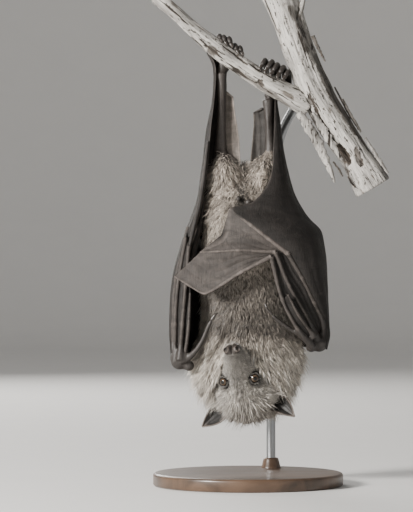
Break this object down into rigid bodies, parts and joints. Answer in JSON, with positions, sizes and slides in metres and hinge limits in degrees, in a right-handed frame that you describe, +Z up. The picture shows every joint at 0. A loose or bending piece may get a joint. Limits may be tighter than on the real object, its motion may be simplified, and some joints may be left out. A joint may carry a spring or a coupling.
{
  "type": "hanging fruit bat display model",
  "caption": "Life-size fruit bat hanging head down by its feet from a cut branch, wings folded round the body, on a plain display stand.",
  "frame": {"origin": "middle of the underside of the display base", "axes": "+Z up; the belly and face look along -Y; the animal's right side is +X, because it hangs head down"},
  "size_m": [0.1854, 0.148, 0.3884],
  "materials": {
    "body_fur": "dense soft fur, dark at the root with pale frosted tips",
    "face_fur": "short pale grey fur, longer and fluffier round the neck",
    "bare_skin": "dark bare skin with fine wrinkles",
    "wing_membrane": "thin dark grey-brown wing skin, satin, finely creased",
    "eyes": "glossy orange-brown eye with a dark pupil",
    "claws": "dark polished horn",
    "branch_wood": "weathered silver-grey wood with cracks and peeling bark",
    "stand_wood": "dark stained turned wood, satin",
    "stand_metal": "brushed grey steel rod"
  },
  "bodies": {
    "root": {"stand_rod": "stand_metal", "stand_base": "stand_wood", "perch_branch": "branch_wood", "toe_1_l": "bare_skin", "toe_2_l": "bare_skin", "toe_3_l": "bare_skin", "toe_4_l": "bare_skin", "toe_5_l": "bare_skin", "foot_l": "bare_skin", "shank_l": "bare_skin", "wrist_l": "bare_skin", "forearm_l": "wing_membrane", "upper_arm_l": "body_fur", "thumb_claw_l": "claws", "thumb_l": "bare_skin", "toe_1_r": "bare_skin", "toe_2_r": "bare_skin", "toe_3_r": "bare_skin", "toe_4_r": "bare_skin", "toe_5_r": "bare_skin", "foot_r": "bare_skin", "shank_r": "bare_skin", "wrist_r": "bare_skin", "forearm_r": "wing_membrane", "upper_arm_r": "body_fur", "thumb_claw_r": "claws", "thumb_r": "bare_skin", "finger_2_r": "wing_membrane", "finger_3_r": "wing_membrane", "finger_4_r": "wing_membrane", "finger_5_r": "wing_membrane", "finger_2_l": "wing_membrane", "finger_3_l": "wing_membrane", "finger_4_l": "wing_membrane", "finger_5_l": "wing_membrane", "web_45_r": "wing_membrane", "web_34_r": "wing_membrane", "palm_45_r": "wing_membrane", "palm_34_r": "wing_membrane", "cloak_r": "wing_membrane", "cloak_l": "wing_membrane", "wing_back_r": "wing_membrane", "wing_back_l": "wing_membrane", "palm_45_l": "wing_membrane", "palm_34_l": "wing_membrane", "palm_23_l": "wing_membrane", "tail_membrane_l": "wing_membrane", "tail_membrane_r": "wing_membrane", "eye_l": "eyes", "ear_l": "bare_skin", "eye_r": "eyes", "ear_r": "bare_skin", "nose": "bare_skin", "head": "face_fur", "neck": "face_fur", "chest": "body_fur", "belly": "body_fur", "thigh_l": "body_fur", "thigh_r": "body_fur"}
  },
  "joints": []
}
